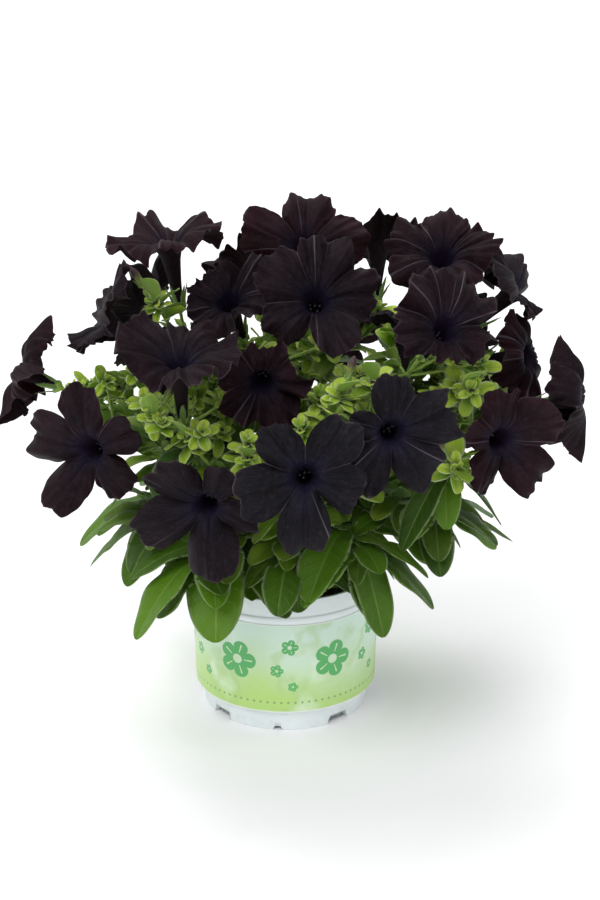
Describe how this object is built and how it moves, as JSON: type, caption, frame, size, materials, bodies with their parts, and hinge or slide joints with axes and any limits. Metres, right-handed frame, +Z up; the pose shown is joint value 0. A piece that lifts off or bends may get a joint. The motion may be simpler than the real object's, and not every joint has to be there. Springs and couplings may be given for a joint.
{
  "type": "petunia in a nursery pot",
  "caption": "Bushy black-flowered petunia with drooping ovate leaves, growing in a round white nursery pot with a wrap label.",
  "frame": {"origin": "middle of the pot's foot, on the surface that the pot stands on", "axes": "+Z up, -Y towards the front of the plant, +X to the viewer's right"},
  "size_m": [0.353, 0.2963, 0.3242],
  "materials": {
    "white_plastic": "white injection-moulded polypropylene, satin",
    "label_film": "printed plastic film in a pale green wash",
    "potting_soil": "dark, crumbly peat substrate",
    "leaf_green": "soft leaves and stems with fine sticky hairs",
    "black_petal": "velvety near-black petals"
  },
  "bodies": {
    "root": {"pot": "white_plastic", "label": "label_film", "soil": "potting_soil", "bloom_top_back": "black_petal", "bloom_top_centre": "black_petal", "bloom_top_left": "black_petal", "bloom_upper_left_inner": "black_petal", "bloom_left_rear": "black_petal", "bloom_left_wide": "black_petal", "bloom_centre_low": "black_petal", "bloom_left_low": "black_petal", "bloom_far_left": "black_petal", "bloom_front_left": "black_petal", "bloom_front_centre": "black_petal", "bloom_front_right": "black_petal", "bloom_right_upper": "black_petal", "bloom_right_back_turned": "black_petal", "bloom_right_crest": "black_petal", "bloom_right_shoulder": "black_petal", "bloom_right_rear_crest": "black_petal", "bloom_right_low": "black_petal", "bloom_right_droop": "black_petal", "bloom_far_right": "black_petal", "bloom_back_top": "black_petal", "bloom_back_crest": "black_petal", "bloom_back_left": "black_petal", "bloom_back_low_left": "black_petal", "bloom_back_centre": "black_petal", "bloom_back_right": "black_petal", "bloom_back_low_right": "black_petal", "stem_top_back": "leaf_green", "stem_top_centre": "leaf_green", "stem_top_left": "leaf_green", "stem_left_wide": "leaf_green", "stem_left_low": "leaf_green", "stem_front_left": "leaf_green", "stem_front_centre": "leaf_green", "stem_front_right": "leaf_green", "stem_right_upper": "leaf_green", "stem_right_shoulder": "leaf_green", "stem_right_low": "leaf_green", "stem_back_top": "leaf_green", "stem_back_left": "leaf_green", "stem_back_centre": "leaf_green", "stem_back_right": "leaf_green"}
  },
  "joints": []
}
